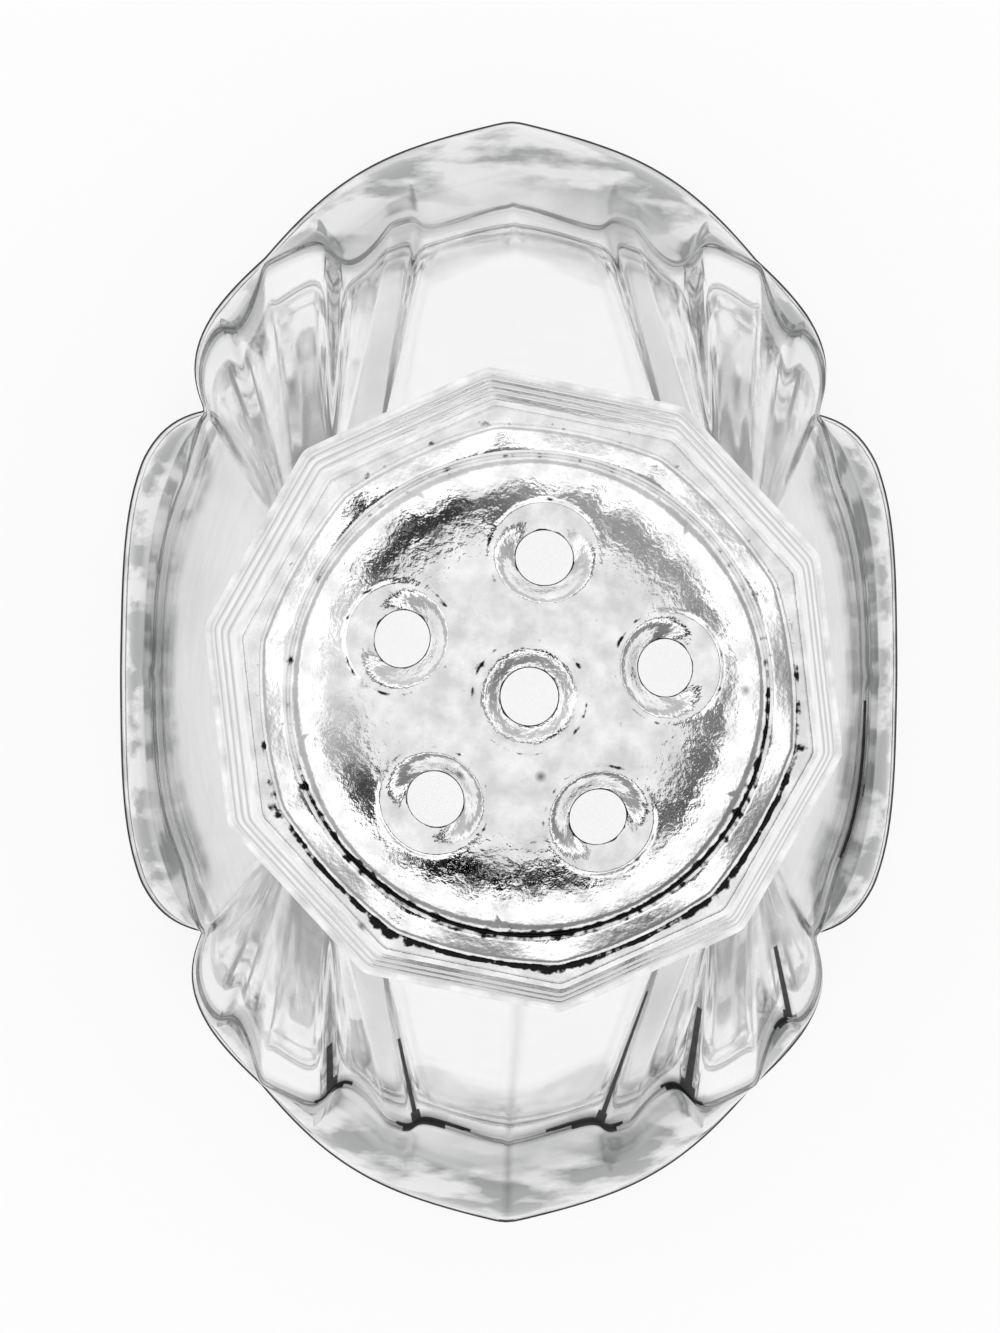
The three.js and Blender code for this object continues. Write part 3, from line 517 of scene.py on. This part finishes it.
# The cap's outer skin: ten-sided skirt, creases and band as rings, then the dome as one radial patch for each
# hole, which meet on shared edges. Solidify gives the sheet its thickness towards the inside.
def makeCap(c):
    angles = capAngles(c)
    centreZ = c.crease1Z - math.sqrt(c.domeRadius ** 2 - c.crease1Radius ** 2)
    baseZ, lipTopZ = capLow[2], capLow[2] + c.lipHeight
    baseCorner, lip, step = c.topCorner + c.flare, c.lipProud, c.creaseStep
    profile = {name: capRing(c, angles, z, corner, facet) for name, z, corner, facet in [
        ("inside", baseZ, baseCorner - c.lipTuck, 1),
        ("lip", baseZ, baseCorner + lip, 1),
        ("lipTop", lipTopZ - lip, baseCorner + lip, 1),
        ("skirtFoot", lipTopZ, baseCorner - c.skirtEase, 1),
        ("skirtTop", c.topZ - c.topEdge, c.topCorner + c.skirtEase, 1),
        ("topEdge", c.topZ, c.topCorner - c.topEdge, 1),
        ("crease2", c.topZ - step, c.crease2Radius + c.creaseWidth, c.bandFacet),
        ("band", c.topZ + step, c.crease2Radius - c.bandTuck, c.bandFacet),
        ("bandTop", c.crease1Z - step, c.crease1Radius + 2 * c.creaseWidth, 0),
        ("crease1", c.crease1Z - c.creaseDepth, c.crease1Radius + c.creaseWidth, 0),
        ("dome", c.crease1Z, c.crease1Radius, 0),
    ]}
    rows, owners = roundedRows(profile, c.rounding, c.straightRows, c.roundSteps)
    # fine beads round the skirt, flat-topped bell curves of the height, with a painted shade line at both
    # edges of each
    height = rows[..., 2] - baseZ
    onSkirt = (owners == list(profile).index("skirtTop") - 0.5)[:, None]
    bead = sum(np.exp(-((height - z) / c.beadHeight) ** 4) for z in c.beads) * c.beadStep
    radius = np.linalg.norm(rows[..., :2], axis=-1)
    rows[..., :2] *= (1.0 - np.where(onSkirt, bead, 0.0) / radius)[..., None]
    fromEdge = [np.abs(height - z) - c.beadHeight for z in c.beads]
    beadEdge = sum(np.exp(-(off / c.lineHeight) ** 2) for off in fromEdge)
    skirtShadeLine = np.where(onSkirt, np.clip(beadEdge, 0.0, 1.0), 0.0)
    # painted shade in the two creases, stronger towards one way
    towards = np.cos(angles - np.radians(c.grimeWay))
    paintedShading = c.grimeLeast + (1.0 - c.grimeLeast) * ease(towards, *c.grimeSpread)
    depth = np.interp(owners, *np.transpose(c.creaseGrime))
    grime = [(depth[:, None] * paintedShading[None]).ravel()]
    points, faces, total = [rows.reshape(-1, 3)], gridFaces(gridNumbers(rows)), skirtShadeLine.size

    # boundaries of the patches on the dome: five spokes from a pentagon's corners to the dome's edge
    holes = c.holeCount
    perCell = len(angles) // holes
    wanted = math.radians(c.holeStart + 180.0 / holes)
    first = int(np.argmin(np.abs(np.mod(angles - wanted + np.pi, 2 * np.pi) - np.pi)))
    spokes = (first + perCell * np.arange(holes)) % len(angles)
    edge = rows[-1]
    cornerReach = c.holeRing / 2 / math.cos(math.pi / holes)
    pentagon = cornerReach * np.column_stack([np.cos(angles[spokes]), np.sin(angles[spokes])])
    along = np.linspace(0.0, 1.0, c.spokePoints)[:, None]
    side = np.linspace(0.0, 1.0, c.pentagonPoints)[:, None]

    # Plan points raised to the sphere, sqrt(R^2 - x^2 - y^2) over its centre
    def toDome(plan):
        return np.column_stack([plan, centreZ + np.sqrt(c.domeRadius ** 2 - (plan ** 2).sum(axis=1))])

    for k in range(holes + 1):
        here, ahead = k % holes, (k + 1) % holes
        if k == holes:  # the middle hole inside the pentagon
            ways = np.roll(pentagon, -1, axis=0) - pentagon
            sides = pentagon[:, None] + ways[:, None] * side[None, :-1]
            boundary, reach, angle = toDome(sides.reshape(-1, 2)), 0.0, 0.0
        else:
            arc = edge[(spokes[here] + np.arange(perCell + 1)) % len(angles)]
            inwards = arc[-1, :2] + (pentagon[ahead] - arc[-1, :2]) * along[1:]
            between = pentagon[ahead] + (pentagon[here] - pentagon[ahead]) * side[1:]
            outwards = pentagon[here] + (arc[0, :2] - pentagon[here]) * along[1:-1]
            boundary = np.concatenate([arc, toDome(np.concatenate([inwards, between, outwards]))])
            reach, angle = c.holeRing, c.holeStart + (k + 1) * 360.0 / holes
        patch, patchShade = holeCell(c, centreZ, reach, angle, boundary)
        points.append(patch[::-1].reshape(-1, 3))
        grime.append(patchShade[::-1].ravel())
        faces += gridFaces(gridNumbers(patch, total))
        total += patchShade.size
    points = np.concatenate(points)
    piece = meshPiece("chrome_cap", points, faces)
    onDisc = 1.0 - ease(np.linalg.norm(points[:, :2], axis=1), *c.hammerEdge)
    pointValues(piece, "creaseShade", np.concatenate(grime))
    pointValues(piece, "lineShade", np.concatenate([skirtShadeLine.ravel(), np.zeros(total - skirtShadeLine.size)]))
    pointValues(piece, "hammered", c.hammerLeast + (1.0 - c.hammerLeast) * onDisc)
    weld = piece.modifiers.new("closedSeams", "WELD")
    weld.merge_threshold = c.weld * mm
    sheet = piece.modifiers.new("sheetThickness", "SOLIDIFY")
    sheet.thickness = c.sheet * mm
    sheet.offset = -1.0
    print("cap", total, "points")
    return piece


capPiece = makeCap(named(cap))
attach(capPiece, "cap")
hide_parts("cap_shell")

# Threaded liner in the cap and the washer under its flange
linerLow, linerHigh = nodeBox("thread_insert")
washerLow, washerHigh = nodeBox("sealing_washer")
liner = {
    "bore": 13.55, "flangeBore": 10.6, "flangeZ": 72.0, "topRadius": 12.4, "shoulderZ": 72.15, "fit": 0.95,
    "threadZ": 61.55, "threadStart": 133.5, "edgeRound": 0.15, "roundSteps": 3,
    "straightRows": {"boreFoot": 22, "shoulder": 6, "end": 22},
}
washer = {"inner": 10.15, "columns": 160, "edgeRound": 0.3, "roundSteps": 4,
          "straightRows": {"outsideFoot": 1, "insideTop": 3}}


# A closed ring-shaped piece from a profile whose last row is its first: rows wrap both ways
def ringPiece(name, rows):
    rows = rows[:-1]
    numbers = gridNumbers(rows)
    return meshPiece(name, rows.reshape(-1, 3), gridFaces(np.concatenate([numbers, numbers[:1]])))


# The liner: down its bore, out under it, up its ten sides and in over the flange; the bore carries the inner
# thread as a ridge towards the axis
def makeLiner(v, c):
    angles = capAngles(c)
    baseZ, topZ, bore = linerLow[2], linerHigh[2], v.bore
    skirtHeight = c.topZ - capLow[2] - c.lipHeight
    toCorner = v.fit / math.cos(math.pi / c.sides)

    # The liner's corner radius at a height: the flared skirt's, less the fit
    def outside(z):
        return c.topCorner + c.flare * (c.topZ - z) / skirtHeight - toCorner

    middleZ = (baseZ + v.flangeZ) / 2
    profile = {name: capRing(c, angles, z, corner, facet) for name, z, corner, facet in [
        ("start", middleZ, bore, 0),
        ("boreFoot", baseZ, bore, 0),
        ("outsideFoot", baseZ, outside(baseZ), 1),
        ("shoulder", v.shoulderZ, outside(v.shoulderZ), 1),
        ("top", topZ, v.topRadius, 0),
        ("flangeTop", topZ, v.flangeBore, 0),
        ("flange", v.flangeZ, v.flangeBore, 0),
        ("boreTop", v.flangeZ, bore, 0),
        ("end", middleZ, bore, 0),
    ]}
    rows, _ = roundedRows(profile, dict.fromkeys(profile, v.edgeRound), v.straightRows, v.roundSteps)
    above = np.linspace(rows[-2, 0, 2], rows[-1, 0, 2], v.straightRows["end"] + 2)[1:-1]
    upper = np.array([capRing(c, angles, z, bore, 0) for z in above])
    rows = np.concatenate([rows[:-1], upper, rows[-1:]])
    onBore = np.isclose(np.linalg.norm(rows[..., :2], axis=-1), bore, atol=1e-3)
    rise = threadRise(thread, angles[None, :], rows[..., 2], v.threadZ, v.threadStart)
    rows[..., :2] *= (1.0 - np.where(onBore, rise, 0.0) / bore)[..., None]
    return ringPiece("cap_liner", rows)


# The washer: a flat ring with rounded edges, its profile carried round a circle
def makeWasher(w):
    turn = np.linspace(0.0, 2 * np.pi, w.columns, endpoint=False)
    low, high, inner, outer = washerLow[2], washerHigh[2], w.inner, washerHigh[0]
    middle = (inner + outer) / 2
    places = {
        "start": (middle, low), "outsideFoot": (outer, low), "outsideTop": (outer, high),
        "insideTop": (inner, high), "insideFoot": (inner, low), "end": (middle, low),
    }
    profile = {name: np.column_stack([r * np.cos(turn), r * np.sin(turn), np.full(len(turn), z)])
               for name, (r, z) in places.items()}
    rows, _ = roundedRows(profile, dict.fromkeys(profile, w.edgeRound), w.straightRows, w.roundSteps)
    return ringPiece("rim_washer", rows)


linerPiece = makeLiner(named(liner), named(cap))
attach(linerPiece, "cap")
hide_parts("thread_insert")
washerPiece = makeWasher(named(washer))
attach(washerPiece, "washer")
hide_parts("sealing_washer")
print("liner and washer made")


# An input fed by another node's output, or set to a plain value
def feed(tree, socket, value):
    if isinstance(value, bpy.types.NodeSocket):
        tree.links.new(value, socket)
    else:
        socket.default_value = value


# The inputs of a node fed by name or number
def feedAll(tree, node, inputs):
    for socket, value in inputs.items():
        feed(tree, node.inputs[socket], value)


# A node with its properties set and its inputs fed
def addNode(tree, kind, inputs, **properties):
    node = tree.nodes.new(kind)
    for name, value in properties.items():
        setattr(node, name, value)
    feedAll(tree, node, inputs)
    return node


# A sum, product or other operation on values
def maths(tree, operation, *values, clamp=False):
    node = addNode(tree, "ShaderNodeMath", dict(enumerate(values)), operation=operation, use_clamp=clamp)
    return node.outputs[0]


# A value moved from one range to another and held within it
def ranged(tree, value, given=(0.0, 1.0), wanted=(0.0, 1.0)):
    names = ("Value", "From Min", "From Max", "To Min", "To Max")
    return addNode(tree, "ShaderNodeMapRange", dict(zip(names, (value, *given, *wanted)))).outputs["Result"]


# Noise at a scale and detail over the given coordinates
def noise(tree, place, scale, detail):
    inputs = {"Vector": place, "Scale": scale, "Detail": detail}
    return addNode(tree, "ShaderNodeTexNoise", inputs).outputs["Fac"]


# A shader node group with its named inputs, their plain values and one output
def newGroup(name, inputs, output):
    group = bpy.data.node_groups.new(name, "ShaderNodeTree")
    group.interface.new_socket("Vector", in_out="INPUT", socket_type="NodeSocketVector")
    for socket, value in inputs.items():
        made = group.interface.new_socket(socket, in_out="INPUT", socket_type="NodeSocketFloat")
        made.default_value = value
    group.interface.new_socket(output, in_out="OUTPUT", socket_type="NodeSocketFloat")
    given, result = group.nodes.new("NodeGroupInput"), group.nodes.new("NodeGroupOutput")
    return group, given.outputs, result.inputs[output]


# Group: cloudy mottle, noise at a scale (per metre) stretched by its contrast around the middle of 0 to 1
def mottleGroup():
    inputs = {"Scale": 300.0, "Detail": 3.0, "Contrast": 2.5}
    group, given, result = newGroup("surfaceMottle", inputs, "Mottle")
    fromMiddle = maths(group, "SUBTRACT", noise(group, given["Vector"], given["Scale"], given["Detail"]), 0.5)
    feed(group, result, maths(group, "MULTIPLY_ADD", fromMiddle, given["Contrast"], 0.5, clamp=True))
    return group


# Group: small pits and specks, the middles of scattered cells, 1 in a pit and 0 outside
def pitGroup():
    group, given, result = newGroup("surfacePits", {"Scale": 900.0, "Size": 0.12}, "Pits")
    inputs = {"Vector": given["Vector"], "Scale": given["Scale"], "Randomness": 1.0}
    cells = addNode(group, "ShaderNodeTexVoronoi", inputs)
    feed(group, result, ranged(group, cells.outputs["Distance"], (0.0, given["Size"]), (1.0, 0.0)))
    return group


mottle, pits = mottleGroup(), pitGroup()


# A material with its node tree, its shader and the object's own coordinates
def newMaterial(name):
    material = bpy.data.materials.new(name)
    material.use_nodes = True
    tree = material.node_tree
    place = tree.nodes.new("ShaderNodeTexCoord").outputs["Object"]
    return material, tree, tree.nodes["Principled BSDF"], place


# A placed group with its values, reading the given coordinates
def placeGroup(tree, group, place, settings):
    return addNode(tree, "ShaderNodeGroup", {"Vector": place, **settings}, node_tree=group).outputs[0]


# Mottle from (scale per metre, detail, contrast)
def mottled(tree, place, kind):
    return placeGroup(tree, mottle, place, dict(zip(("Scale", "Detail", "Contrast"), kind)))


# Two colours mixed by a mask
def mixColour(tree, mask, first, second):
    mix = addNode(tree, "ShaderNodeMix", {"Factor": mask}, data_type="RGBA")
    colours = [socket for socket in mix.inputs if socket.type == "RGBA"]
    feed(tree, colours[0], first)
    feed(tree, colours[1], second)
    return next(socket for socket in mix.outputs if socket.type == "RGBA")


# The normal after bumps one on another, each as (height, depth in metres)
def bumped(tree, layers):
    normal = None
    for height, depth in layers:
        bump = addNode(tree, "ShaderNodeBump", {"Height": height, "Distance": depth, "Strength": 1.0})
        if normal:
            feed(tree, bump.inputs["Normal"], normal)
        normal = bump.outputs["Normal"]
    return normal


# A grey of one level, opaque
def grey(level):
    return (level, level, level, 1.0)


# The value stored on the piece's points under a name
def pointValue(tree, name):
    return addNode(tree, "ShaderNodeAttribute", {}, attribute_name=name).outputs["Fac"]


# Glass finish: mottles as (scale, detail, contrast), stretches in x, y and z, depths and heights in metres
glassFinish = {
    "transmission": 0.97, "ior": 1.5, "roughness": (0.05, 0.11),
    # the grey and near-black colours are painted shade, the grey in mottled patches over the foot and sides
    "tint": grey(1.0), "clouded": (0.15, 0.155, 0.155, 1.0), "dirt": grey(0.02),
    "footClouds": (400.0, 8.0, 9.0), "footStretch": (0.4, 1.2, 0.5), "cloudLeast": 0.38,
    "wallClouds": (120.0, 3.0, 3.0), "wallStretch": (1.0, 0.6, 0.12), "footTop": (0.0125, 0.0135),
    "ripple": (240.0, 1.0, 1.0), "rippleDepth": 0.00002, "fine": (900.0, 2.0, 1.0), "fineDepth": 0.000003,
}


# Clear glass with grey painted shade in mottled patches, by cloudShade, and dark painted shade along
# the creases, by creaseShade
def clearGlass(f):
    material, tree, shader, place = newMaterial("clearPressedGlass")
    alongFoot = addNode(tree, "ShaderNodeMapping", {"Vector": place, "Scale": f.footStretch}).outputs[0]
    upWall = addNode(tree, "ShaderNodeMapping", {"Vector": place, "Scale": f.wallStretch}).outputs[0]
    footClouds, wallClouds = mottled(tree, alongFoot, f.footClouds), mottled(tree, upWall, f.wallClouds)
    height = addNode(tree, "ShaderNodeSeparateXYZ", {0: place}).outputs["Z"]
    clouds = mixColour(tree, ranged(tree, height, f.footTop), footClouds, wallClouds)
    clouds = ranged(tree, clouds, wanted=(f.cloudLeast, 1.0))
    greyShadeMask = maths(tree, "MULTIPLY", clouds, pointValue(tree, "cloudShade"))
    greyShaded = mixColour(tree, greyShadeMask, f.tint, f.clouded)
    ripple, fine = mottled(tree, place, f.ripple), mottled(tree, place, f.fine)
    feedAll(tree, shader, {
        "Transmission Weight": f.transmission,
        "IOR": f.ior,
        "Base Color": mixColour(tree, pointValue(tree, "creaseShade"), greyShaded, f.dirt),
        "Roughness": ranged(tree, fine, wanted=f.roughness),
        "Normal": bumped(tree, [(ripple, f.rippleDepth), (fine, f.fineDepth)]),
    })
    return material


# Chrome finish: mottles as (scale, detail, contrast), depths in metres
chromeFinish = {
    # the line and darkest colours are painted shade, on the skirt's bead edges and in the creases and holes
    "bright": grey(0.95), "dull": grey(0.70), "pit": grey(0.08), "grime": grey(0.015), "line": grey(0.5),
    "worn": (700.0, 6.0, 3.0), "roughness": (0.1, 0.02), "pitScale": 240.0, "pitSize": 0.09,
    "ragged": (1500.0, 4.0, 2.0), "grimeEdge": (0.95, 1.2), "dents": (330.0, 2.0, 1.0), "dentDepth": 0.00004,
    "blows": (2200.0, 3.0, 1.0), "blowDepth": 0.00004, "grain": (5200.0, 2.0, 1.0), "grainDepth": 0.000004,
}


# Plated sheet, dull and bright in patches, pitted, hammered by the value hammered, with painted shade lines
# by lineShade and ragged painted shade where creaseShade and a mottle together pass its edge
def capChrome(f):
    material, tree, shader, place = newMaterial("capChrome")
    worn, dents = mottled(tree, place, f.worn), mottled(tree, place, f.dents)
    blows = maths(tree, "MULTIPLY", mottled(tree, place, f.blows), pointValue(tree, "hammered"))
    grain, ragged = mottled(tree, place, f.grain), mottled(tree, place, f.ragged)
    specks = placeGroup(tree, pits, place, {"Scale": f.pitScale, "Size": f.pitSize})
    plated = mixColour(tree, worn, f.dull, f.bright)
    pitted = mixColour(tree, specks, plated, f.pit)
    lined = mixColour(tree, pointValue(tree, "lineShade"), pitted, f.line)
    paintedShading = ranged(tree, maths(tree, "ADD", pointValue(tree, "creaseShade"), ragged), f.grimeEdge)
    feedAll(tree, shader, {
        "Metallic": 1.0,
        "Base Color": mixColour(tree, paintedShading, lined, f.grime),
        "Roughness": ranged(tree, worn, wanted=f.roughness),
        "Normal": bumped(tree, [(dents, f.dentDepth), (blows, f.blowDepth), (grain, f.grainDepth)]),
    })
    return material


# Moulded and matt finishes: two tones, with stain and grain as (scale, detail, contrast)
# the first, near black, is painted shade for the glass's darkest lines and outline
paintedShadeFinish = {"pale": grey(0.06), "shaded": grey(0.015), "stain": (900.0, 4.0, 2.0),
               "grain": (3000.0, 3.0, 1.5), "grainDepth": 0.000005, "roughness": (0.85, 0.95)}
linerFinish = {"pale": (0.90, 0.90, 0.88, 1.0), "shaded": (0.80, 0.80, 0.77, 1.0), "stain": (180.0, 4.0, 2.0),
               "grain": (2500.0, 3.0, 1.5), "grainDepth": 0.00001, "roughness": (0.35, 0.55)}
washerFinish = {"pale": (0.78, 0.77, 0.74, 1.0), "shaded": (0.66, 0.65, 0.61, 1.0),
                "stain": (300.0, 4.0, 2.0), "grain": (4000.0, 3.0, 1.5), "grainDepth": 0.00002,
                "roughness": (0.65, 0.85)}


# A moulded finish: two tones in soft stains, with fine grain in roughness and bump
def mouldedFinish(name, f):
    material, tree, shader, place = newMaterial(name)
    grain = mottled(tree, place, f.grain)
    feedAll(tree, shader, {
        "Base Color": mixColour(tree, mottled(tree, place, f.stain), f.shaded, f.pale),
        "Roughness": ranged(tree, grain, wanted=f.roughness),
        "Normal": bumped(tree, [(grain, f.grainDepth)]),
    })
    return material


glassBody.data.materials.append(clearGlass(named(glassFinish)))
# the glass's second finish is near-black painted shade on its darkest lines and outline
glassBody.data.materials.append(mouldedFinish("creaseGrime", named(paintedShadeFinish)))
capPiece.data.materials.append(capChrome(named(chromeFinish)))
linerPiece.data.materials.append(mouldedFinish("whiteLiner", named(linerFinish)))
washerPiece.data.materials.append(mouldedFinish("paleRubber", named(washerFinish)))
print("finishes set")

# Floor, light and camera
stageSet = {"floorSize": 3.0, "floorDrop": 0.0002, "floorColour": grey(0.98), "floorRoughness": 0.9,
            "floorGlow": 0.86}


# Masks from the light path: 1 where a ray comes from the camera, a reflection or a refraction; 1 where it
# comes from one of the last two; 1 where it comes from a refraction
def rayMasks(tree):
    path = tree.nodes.new("ShaderNodeLightPath").outputs
    bent = maths(tree, "MAXIMUM", path["Is Glossy Ray"], path["Is Transmission Ray"])
    return maths(tree, "MAXIMUM", path["Is Camera Ray"], bent), bent, path["Is Transmission Ray"]


# Two shaders mixed by a mask and shown by the tree's output node
def showMix(tree, mask, first, second, output):
    mix = addNode(tree, "ShaderNodeMixShader", {0: mask, 1: first.outputs[0], 2: second.outputs[0]})
    feed(tree, tree.nodes[output].inputs["Surface"], mix.outputs[0])


# The floor: a wide square just under the foot, white to the eye and to what mirrors it, with a share of its
# own shading so that the shadow stays
def makeFloor(s):
    half = s.floorSize / 2
    corners = np.array([[-half, -half], [half, -half], [half, half], [-half, half]]) / mm
    floor = meshPiece("floor", np.column_stack([corners, np.full(4, -s.floorDrop / mm)]), [(0, 1, 2, 3)])
    material, tree, shader, _ = newMaterial("paleFloor")
    feedAll(tree, shader, {
        "Base Color": s.floorColour, "Roughness": s.floorRoughness, "Specular IOR Level": 0.0,
    })
    white = addNode(tree, "ShaderNodeEmission", {"Strength": 1.0})
    seen, _, refracted = rayMasks(tree)
    share = maths(tree, "MAXIMUM", maths(tree, "MULTIPLY", seen, s.floorGlow), refracted)
    showMix(tree, share, shader, white, "Material Output")
    floor.data.materials.append(material)


# The studio that the metal mirrors, in degrees: its grey by elevation, two darker belts by elevation with
# their strength by compass direction from +X, and its clouds by elevation; and the grey that glass bends in
studio = {
    "level": [(20, 1.05), (29, 1.3), (37, 1.3), (46, 0.95), (70, 0.95), (88, 1.0)],
    "belt": [(34.5, 0.0), (36.0, 1.0), (42.0, 1.0), (43.5, 0.0)],
    "beltAround": [(-180, 0.2), (-150, 0.95), (-110, 1.0), (-70, 1.0), (-35, 0.9), (0, 0.8), (40, 0.7),
                   (80, 0.7), (110, 0.97), (140, 0.97), (160, 0.4), (180, 0.2)],
    "wall": [(3, 0.0), (8, 1.0), (22, 1.0), (28, 0.0)],
    "wallAround": [(-180, 0.45), (-100, 0.7), (-50, 0.8), (0, 0.65), (60, 0.4), (120, 0.3), (180, 0.45)],
    "throughGlass": [(5, 1.0), (11, 0.85), (26, 0.88), (38, 1.0), (60, 1.0)],
    "ragged": 8.0, "raggedScale": 17.0, "raggedDetail": 5.0,
    "cloudScale": 50.0, "cloudDetail": 3.0, "clouds": (0.45, 1.55), "cloudsFrom": [(36, 0.1), (46, 1.0)],
}


# A ramp of greys by an angle in degrees, for a value that runs from 0 to 1 between minus and plus a limit
def angleRamp(tree, value, stops, limit):
    ramp = addNode(tree, "ShaderNodeValToRGB", {"Fac": value})
    elements = ramp.color_ramp.elements
    elements.remove(elements[-1])
    for i, (angle, level) in enumerate(stops):
        element = elements[0] if i == 0 else elements.new(1.0)
        element.position = (angle + limit) / (2 * limit)
        element.color = grey(level)
    return ramp.outputs["Color"]


# The world: plain white for the eye and for the light on the object, and a studio of soft belts for what the
# metal mirrors and the glass bends. Elevation is asin(z), made ragged by noise, and the compass direction is
# atan2(y, x). A belt leaves one less its share by elevation times its share by direction.
def makeLight(s):
    world = bpy.data.worlds.new("studio")
    bpy.context.scene.world = world
    world.use_nodes = True
    tree = world.node_tree
    plain = tree.nodes["Background"]
    plain.inputs["Color"].default_value = grey(1.0)
    way = tree.nodes.new("ShaderNodeTexCoord").outputs["Generated"]
    parts = addNode(tree, "ShaderNodeSeparateXYZ", {0: way}).outputs
    rise = maths(tree, "ARCSINE", parts["Z"])
    shift, upright, compass = math.radians(s.ragged), (-math.pi / 2, math.pi / 2), (-math.pi, math.pi)
    rough = noise(tree, way, s.raggedScale, s.raggedDetail)
    shaken = maths(tree, "ADD", rise, maths(tree, "MULTIPLY_ADD", rough, 2 * shift, -shift))
    height, plainHeight = ranged(tree, shaken, upright), ranged(tree, rise, upright)
    turn = ranged(tree, maths(tree, "ARCTAN2", parts["Y"], parts["X"]), compass)
    level = angleRamp(tree, height, s.level, 90)
    for belt, byWay, up in ((s.belt, s.beltAround, height), (s.wall, s.wallAround, plainHeight)):
        byTurn = angleRamp(tree, turn, byWay, 180)
        share = maths(tree, "MULTIPLY", angleRamp(tree, up, belt, 90), byTurn)
        level = maths(tree, "MULTIPLY", level, maths(tree, "SUBTRACT", 1.0, share))
    clouds = ranged(tree, noise(tree, way, s.cloudScale, s.cloudDetail), wanted=s.clouds)
    cloudsHere = angleRamp(tree, plainHeight, s.cloudsFrom, 90)
    mirrored = maths(tree, "MULTIPLY", level, mixColour(tree, cloudsHere, grey(1.0), clouds))
    bent = angleRamp(tree, plainHeight, s.throughGlass, 90)
    _, mirroredOrBent, refracted = rayMasks(tree)
    room = addNode(tree, "ShaderNodeBackground", {"Color": mixColour(tree, refracted, mirrored, bent)})
    showMix(tree, mirroredOrBent, plain, room, "World Output")


# The camera looks down from a little beside the axis; its lens follows from the focal length in pixels
view = {"place": (-7.1, 8.2, 456.0), "target": (-0.55, 0.36, 4.0), "roll": 0.3, "focalPixels": 6982.0,
        "imageHeight": 1333.0, "sensor": 36.0, "clip": (0.01, 10.0)}


# The camera's axes: back from the target to its place, right square to that and to the rolled way up
def makeCamera(v):
    data = bpy.data.cameras.new("camera")
    camera = bpy.data.objects.new("camera", data)
    bpy.context.scene.collection.objects.link(camera)
    data.sensor_width = v.sensor
    data.lens = v.focalPixels / v.imageHeight * v.sensor
    data.clip_start, data.clip_end = v.clip
    place, target = Vector(v.place) * mm, Vector(v.target) * mm
    back = (place - target).normalized()
    roll = math.radians(v.roll)
    right = Vector((-math.sin(roll), math.cos(roll), 0.0)).cross(back).normalized()
    camera.rotation_euler = Matrix((right, back.cross(right), back)).transposed().to_euler()
    camera.location = place
    bpy.context.scene.camera = camera


makeFloor(named(stageSet))
makeLight(named(studio))
makeCamera(named(view))
bpy.context.scene.view_settings.view_transform = "Standard"
print("floor, light and camera set")
